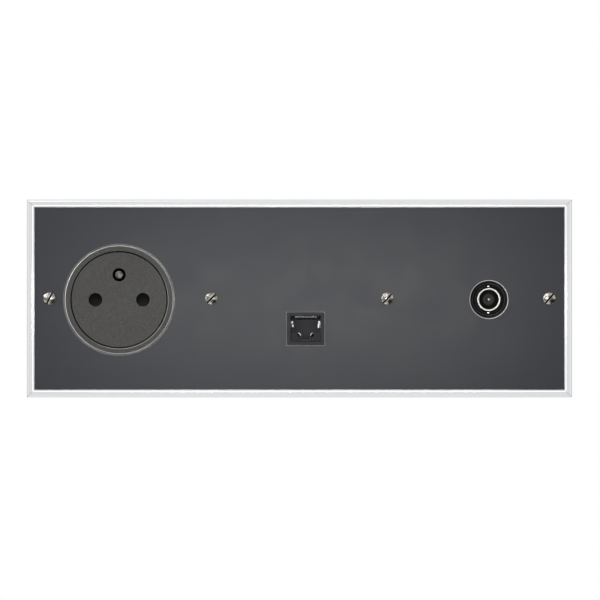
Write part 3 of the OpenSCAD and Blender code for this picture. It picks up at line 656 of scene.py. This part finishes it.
def rounded_pin(material):
    """Earth pin: a straight shank that draws in smoothly to a small flat tip."""
    low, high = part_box("earth_pin")
    radius = (high.x - low.x) / 2 / MM
    tip, end = -low.y / MM, -high.y / MM
    taper = [(radius - 0.82 * (i / 12) ** 1.8, tip - 2.2 + 2.1 * i / 12) for i in range(13)]
    form = Form()
    form.turned(centre_mm("earth_pin"), [
        (radius - 0.3, end), (radius, end + 0.3), *taper, (1.54, tip - 0.03), (1.48, tip), (0.05, tip),
    ])
    form.piece("rounded_pin", material, "nickel", "earth_pin")


def jack_shield(material):
    """Folded sheet round the port, with two fingers a side whose faces turn to the plug."""
    low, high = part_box("data_shield")
    x, z = centre_mm("data_bezel")
    back, front = -high.y / MM, -low.y / MM
    low_edge, roof = low.z / MM, high.z / MM - SHEET
    wall = PORT_HALF
    form = Form()
    form.box((x - wall - SHEET, x + wall + SHEET), (roof, roof + SHEET), (back, front))
    for side in (-1, 1):
        form.box(sorted((x + side * wall, x + side * (wall + SHEET))), (low_edge, roof), (back, front))
        for row, set_in in enumerate((0.5, 0.28)):
            path = [
                (wall + 0.05, front - 0.9), (wall - set_in, front - 1.8),
                (wall - set_in - 0.52, front - 1.94), (wall - set_in - 0.54, front - 2.5),
                (wall + 0.05, front - 6.2),
            ]
            up = low_edge + 1.75 + row * 1.4
            outline = ribbon(path, SHEET * 0.8)
            form.loft([[at(x + side * u, level, out) for u, out in outline] for level in (up, up + 1.3)])
    form.piece("jack_shield", material, "spring", "data_shield", width=0.03)


def comb_teeth(material):
    """The comb's teeth between the wires, under the roof of the port."""
    x, z = centre_mm("data_bezel")
    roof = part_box("data_shield")[1].z / MM - SHEET
    half = 0.17
    form = Form()
    for i in range(-4, 5):
        middle = x + i * WIRE_PITCH * 0.985
        form.box((middle - half, middle + half), (roof - TOOTH_H, roof - 0.1), (-5, 1.6))
    form.piece("comb_teeth", material, "comb", width=0.06)


def latch_clip(material):
    """Sprung clip: a U in the latch channel, its legs rolled outward over the ledges."""
    low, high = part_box("data_latch_clip")
    x = (low.x + high.x) / 2 / MM
    reach = (high.x - low.x) / 2 / MM - 0.15
    roll = reach - CLIP_LEG
    top = high.z / MM - 0.3
    floor = low.z / MM - 1.45
    roll_up = top - roll
    right = arc((reach, roll_up), roll, 90, 180, 8) + [(CLIP_LEG, floor + 0.3), (CLIP_LEG - 0.3, floor)]
    path = right + [(-u, v) for u, v in right[::-1]]
    outline = ribbon(path, CLIP_T)
    form = Form()
    form.loft([[at(x + u, v, out) for u, v in outline] for out in (-high.y / MM, -low.y / MM)])
    form.piece("latch_clip", material, "spring", "data_latch_clip", width=0.03)


def coax_lugs(material):
    """Rounded ends of the two studs that a plug's sleeve turns on to."""
    x, z = centre_mm("coax_body")
    form = Form()
    for side in (-1, 1):
        outline = [(0.5, -0.3), (0.5, 0.2), (0.47, 0.3), (0.38, 0.36), (0.2, 0.39), (0.05, 0.4)]
        form.turned((x - 0.1, z + side * 5.32), outline, 28)
    form.piece("coax_lugs", material, "nickel")


def disc_radius():
    low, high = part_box("socket_disc")
    return (high.x - low.x) / 2 / MM


def collar_radius():
    low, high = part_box("socket_collar")
    return (high.x - low.x) / 2 / MM


def thread(name, centre, root, crest, back, front, pitch, material):
    """Helical ridge round a rod along Y, from y = front to y = back, all in mm."""
    steps = 28
    turns = (back - front - pitch) / pitch
    count = int(turns * steps)
    mesh = bpy.data.meshes.new(name)
    form = bmesh.new()
    rings = []
    for i in range(count + 1):
        turn = 2 * math.pi * i / steps
        y = front + pitch * i / steps
        fade = min(1, i / steps, (count - i) / steps)
        top = root + (crest - root) * fade
        section = ((root, 0.0), (top, 0.42), (top, 0.58), (root, 1.0))
        rings.append([
            form.verts.new((
                (centre[0] + r * math.cos(turn)) * MM,
                (y + share * pitch) * MM,
                (centre[1] + r * math.sin(turn)) * MM,
            ))
            for r, share in section
        ])
    for a, b in zip(rings, rings[1:]):
        for k in range(4):
            form.faces.new((a[k], a[(k + 1) % 4], b[(k + 1) % 4], b[k]))
    form.faces.new(rings[0][::-1])
    form.faces.new(rings[-1])
    bmesh.ops.recalc_face_normals(form, faces=form.faces)
    form.to_mesh(mesh)
    form.free()
    return new_piece(name, mesh, material)


# Surroundings


def make_world():
    """White to the camera, plain studio grey to diffuse rays, a soft room to polished metal."""
    world = bpy.data.worlds.new("studio")
    bpy.context.scene.world = world
    t = Tree(world)
    out = t.nodes["World Output"]
    t.nodes.remove(t.nodes["Background"])
    toward = t.add("SeparateXYZ", {"Vector": t.add("TexCoord").outputs["Generated"]}).outputs
    front = t.math("MULTIPLY", toward["Y"], -1)
    ahead = t.ramp(front, 0.35, 0.85, GLOSS_SIDE, GLOSS_FRONT, smooth=True)
    edge = t.ramp(front, -0.05, 0.15, GLOSS_EDGE / GLOSS_SIDE, 1, smooth=True)
    back = t.ramp(front, -0.6, -0.75, 0, GLOSS_BACK, smooth=True)
    room = t.math("ADD", t.math("MULTIPLY", ahead, edge), back)
    path = t.add("LightPath").outputs
    mirrored = t.math("MAXIMUM", path["Is Glossy Ray"], path["Is Transmission Ray"])
    strength = t.math(
        "ADD",
        t.math(
            "MULTIPLY",
            t.math("MULTIPLY", room, t.math("SUBTRACT", 1, dark_corner(t, toward, front))),
            mirrored,
        ),
        t.math("MULTIPLY", t.math("SUBTRACT", 1.0, mirrored), AMBIENT),
    )
    strength = t.add(
        "Mix", {"Factor": path["Is Camera Ray"], "A": strength, "B": 1.0}, data_type="FLOAT"
    ).outputs[0]
    shade = t.add("Background", {"Color": (1, 1, 1, 1), "Strength": strength})
    t.link(shade.outputs[0], out.inputs["Surface"])


def dark_corner(t, toward, front):
    """The unlit side of the studio, low and to the right, that polished domes pick up."""
    diagonal = t.math("SUBTRACT", toward["X"], toward["Z"])
    across = t.math("ABSOLUTE", t.math("ADD", toward["X"], toward["Z"]))
    spread = t.math("DIVIDE", across, t.math("MAXIMUM", diagonal, 0.001))
    inside = t.ramp(spread, 0.95, 0.5, smooth=True)
    off_axis = t.math(
        "MULTIPLY", t.ramp(front, 0.975, 0.93, smooth=True), t.ramp(front, 0.15, 0.35, smooth=True)
    )
    return t.math("MULTIPLY", t.math("MULTIPLY", inside, off_axis), 0.97)


def make_floor():
    """Pale floor that looks white but keeps the shadow that falls on it."""
    mesh = bpy.data.meshes.new("floor")
    half = FLOOR_HALF
    corners = [(-half, -half, 0), (half, -half, 0), (half, half, 0), (-half, half, 0)]
    mesh.from_pydata([(x, y, FLOOR_Z) for x, y, _ in corners], [], [(0, 1, 2, 3)])
    floor = bpy.data.objects.new("floor", mesh)
    bpy.context.scene.collection.objects.link(floor)
    material = bpy.data.materials.new("floor")
    t = Tree(material)
    speckle = t.add("TexNoise", {"Scale": 60.0, "Detail": 2.0}).outputs[0]
    shader = t.nodes["Principled BSDF"]
    t.link(t.mix(speckle, level(238), level(244)), shader.inputs["Base Color"])
    shader.inputs["Roughness"].default_value = 0.9
    path = t.add("LightPath").outputs
    seen = t.math("MAXIMUM", path["Is Camera Ray"], path["Is Glossy Ray"])
    glow = t.add("Emission", {"Color": (1, 1, 1, 1), "Strength": t.math("MULTIPLY", seen, 0.5)})
    both = t.add("AddShader", {0: shader.outputs[0], 1: glow.outputs[0]})
    t.link(both.outputs[0], t.nodes["Material Output"].inputs["Surface"])
    mesh.materials.append(material)
    floor.visible_glossy = False


def lamp(name, place, aim, size, power, color=(1, 1, 1)):
    """Area lamp that the camera doesn't see; size is its width and height in metres."""
    light = bpy.data.lights.new(name, "AREA")
    light.shape = "RECTANGLE"
    light.size, light.size_y = size
    light.energy = power
    light.color = color
    obj = bpy.data.objects.new(name, light)
    bpy.context.scene.collection.objects.link(obj)
    obj.location = place
    obj.rotation_euler = (Vector(aim) - Vector(place)).to_track_quat("-Z", "Y").to_euler()
    obj.visible_camera = False
    return obj


def make_lamps():
    lamp("front", (0, -0.24, 0.0), (0, 0, 0), (0.18, 0.02), 0.17)
    lamp("key", (-0.55, -0.9, 0.65), (0, 0, 0), (1.0, 0.7), 3.2)
    lamp("rake", (-0.26, -0.07, 0.10), (-0.072, 0, 0), (0.05, 0.05), 0.3)


def make_camera():
    data = bpy.data.cameras.new("camera")
    data.lens = LENS
    data.sensor_width = SENSOR
    distance = FRAME_WIDTH / 2 / (SENSOR / 2 / LENS)
    data.clip_start, data.clip_end = 0.1, 100
    camera = bpy.data.objects.new("camera", data)
    bpy.context.scene.collection.objects.link(camera)
    camera.location = (AIM_X, PLATE_Y - distance, AIM_Z)
    camera.rotation_euler = (math.radians(90), 0, 0)
    bpy.context.scene.camera = camera


# Dressing


def clear_scene():
    for obj in list(bpy.data.objects):
        bpy.data.objects.remove(obj)


def centre_mm(node):
    low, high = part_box(node)
    return (low.x + high.x) / 2 / MM, (low.z + high.z) / 2 / MM


def coil_spring(name, node, material, body, along, turns, wire):
    """Coil with closed end turns; along points to its fixed end."""
    low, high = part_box(node)
    centre = (low + high) / 2
    along = Vector(along)
    length = abs((high - low).dot(along))
    first, second = (Vector(v) for v in ((1, 0, 0), (0, 1, 0), (0, 0, 1)) if not Vector(v).dot(along))
    wire_r = wire * MM / 2
    mean_r = (high.x - low.x) / 2 - wire_r
    closed = CLOSED_PITCH * wire * MM
    open_rise = (length - 2 * wire_r - 2 * closed) / (turns - 2)
    form = Form()
    rings = []
    for i in range(turns * COIL_STEPS + 1):
        turn = i / COIL_STEPS
        rise = closed * min(turn, 1) + closed * max(turn - turns + 1, 0)
        rise += open_rise * min(max(turn - 1, 0), turns - 2)
        outward = first * math.cos(2 * math.pi * turn) + second * math.sin(2 * math.pi * turn)
        middle = centre + along * (wire_r + rise - length / 2) + outward * mean_r
        sides = [2 * math.pi * k / COIL_SIDES for k in range(COIL_SIDES)]
        rings.append([middle + (outward * math.cos(s) + along * math.sin(s)) * wire_r for s in sides])
    form.loft(rings)
    made = form.piece(name, material, "spring", node, body=body)
    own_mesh(made)


def dress(nodes):
    """Gives every carried-over node its material and its edge rounding in mm."""
    graphite_skin = graphite()
    steel = metal("zinc_steel", level(196, 197, 196), 0.34, stretch=(0.05, 1, 1))
    spring = metal("spring_steel", level(232, 231, 228), 0.22, stretch=(1, 0.1, 1))
    shaded_spring = clip_steel(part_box("data_latch_clip")[1].z / MM - 1.2)
    brass = metal("brass", level(222, 186, 112), 0.30)
    # painted shade: the gold contacts get a dark colour, as they lie in shade inside the port
    contact = metal("gold_contact_in_painted_shade", level(52, 48, 42), 0.4)
    centre = centre_pin(*centre_mm("coax_contact"))
    natural = plastic("natural_plastic", level(222, 218, 206), 0.48)
    white = plastic("white_plastic", level(212, 212, 208), 0.42)
    dark = plastic("data_plastic", level(17, 18, 24), 0.5, shine=0.32)
    inner = jack_plastic()
    comb = plastic("comb_plastic", level(206, 208, 212), 0.5)
    black = plastic("black_plastic", level(7, 7, 7), 0.6, shine=0.2)
    wax = plastic("dielectric", level(20, 20, 19), 0.5, shine=0.3)
    screw = nickel().material
    bright = barrel_nickel(*centre_mm("coax_body"))
    looks = {
        "trim_frame": (chrome(), 0.04),
        "backing_plate": (steel, 0.1),
        "face_panel": (panel_satin(), 0.05),
        "socket_collar": (graphite_skin, 0.05),
        "socket_disc": (graphite_skin, 0.05),
        "shutter_tray": (black, 0.12),
        "socket_shutter": (black, 0.1),
        "shutter_spring": (spring, 0),
        "disc_spring": (spring, 0),
        "earth_pin": (pin_plating(*centre_mm("earth_pin")), 0.06),
        "live_contact": (contact, 0.05),
        "socket_housing": (white, 0.15),
        "socket_cover": (white, 0.15),
        "cover_screw": (screw, 0.08),
        "socket_bridge": (steel, 0.1),
        "socket_rivet": (steel, 0.1),
        "socket_nut": (screw, 0.1),
        "terminal_screw": (screw, 0.08),
        "terminal": (brass, 0.1),
        "data_bezel": (dark, 0.06),
        "data_shield": (spring, 0.03),
        "data_insert": (inner, 0.06),
        "data_comb": (inner, 0.03),
        "data_latch_clip": (shaded_spring, 0.03),
        "data_contact": (contact, 0.02),
        "data_board": (circuit_board(), 0.04),
        "data_idc": (natural, 0.08),
        "data_wire_cap": (dark, 0.1),
        "data_nut": (screw, 0.1),
        "coax_cup": (cup_plastic(*centre_mm("coax_body")), 0.08),
        "coax_body": (bright, 0.06),
        "coax_insulator": (wax, 0.05),
        "coax_contact": (centre, 0.03),
        "coax_washer": (spring, 0.05),
        "coax_tag": (spring, 0.05),
        "coax_nut": (screw, 0.12),
        "coax_stud_nut": (screw, 0.1),
    }
    for number, angle in enumerate(SLOT_ANGLES, 1):
        name = f"plate_screw_{number}"
        looks[name] = (slotted_nickel(f"slotted_nickel_{number}", *centre_mm(name), angle), 0)
    for name, obj in nodes.items():
        key = max((k for k in looks if name.startswith(k)), key=len)
        material, width = looks[key]
        for slot in obj.material_slots:
            slot.material = material
        soften(obj, width)
    made = {"screw": screw, "bright": bright, "comb": comb, "spring": spring, "clip": shaded_spring}
    for name in ("trim_frame", "earth_pin", *(f"plate_screw_{n}" for n in range(1, 5))):
        made[name] = looks[name][0]
    return made


def add_threads(materials):
    """Threads on the welded studs and the connector's body."""
    screw = materials["screw"]
    for node in (
        "socket_nut_upper", "socket_nut_lower", "data_nut_upper", "data_nut_lower",
        "coax_stud_nut_upper", "coax_stud_nut_lower",
    ):
        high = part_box(node)[1]
        thread(
            f"{node}_thread", centre_mm(node), 1.44, 1.62, 4.6, high.y / MM - 0.4, 0.5, screw,
        )
    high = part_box("coax_body")[1]
    nut_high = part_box("coax_nut")[1]
    thread(
        "coax_thread", centre_mm("coax_body"), 4.5, 4.72, high.y / MM - 0.2, nut_high.y / MM - 0.4,
        0.8, materials["bright"],
    )


clear_scene()
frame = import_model()
made = dress(frame["nodes"])
polished_frame(made["trim_frame"])
for number in range(1, len(SLOT_ANGLES) + 1):
    fixing_screw(number, made[f"plate_screw_{number}"])
rounded_pin(made["earth_pin"])
jack_shield(made["spring"])
comb_teeth(made["comb"])
latch_clip(made["clip"])
coax_lugs(made["screw"])
coil_spring(
    "return_coil", "disc_spring", made["spring"], "base",
    (0, 1, 0), DISC_TURNS, DISC_WIRE,
)
coil_spring(
    "shutter_coil", "shutter_spring", made["spring"], "disc",
    (0, 0, -1), SHUTTER_TURNS, SHUTTER_WIRE,
)
add_threads(made)
make_world()
make_floor()
make_lamps()
make_camera()
bpy.context.scene.view_settings.view_transform = "Standard"
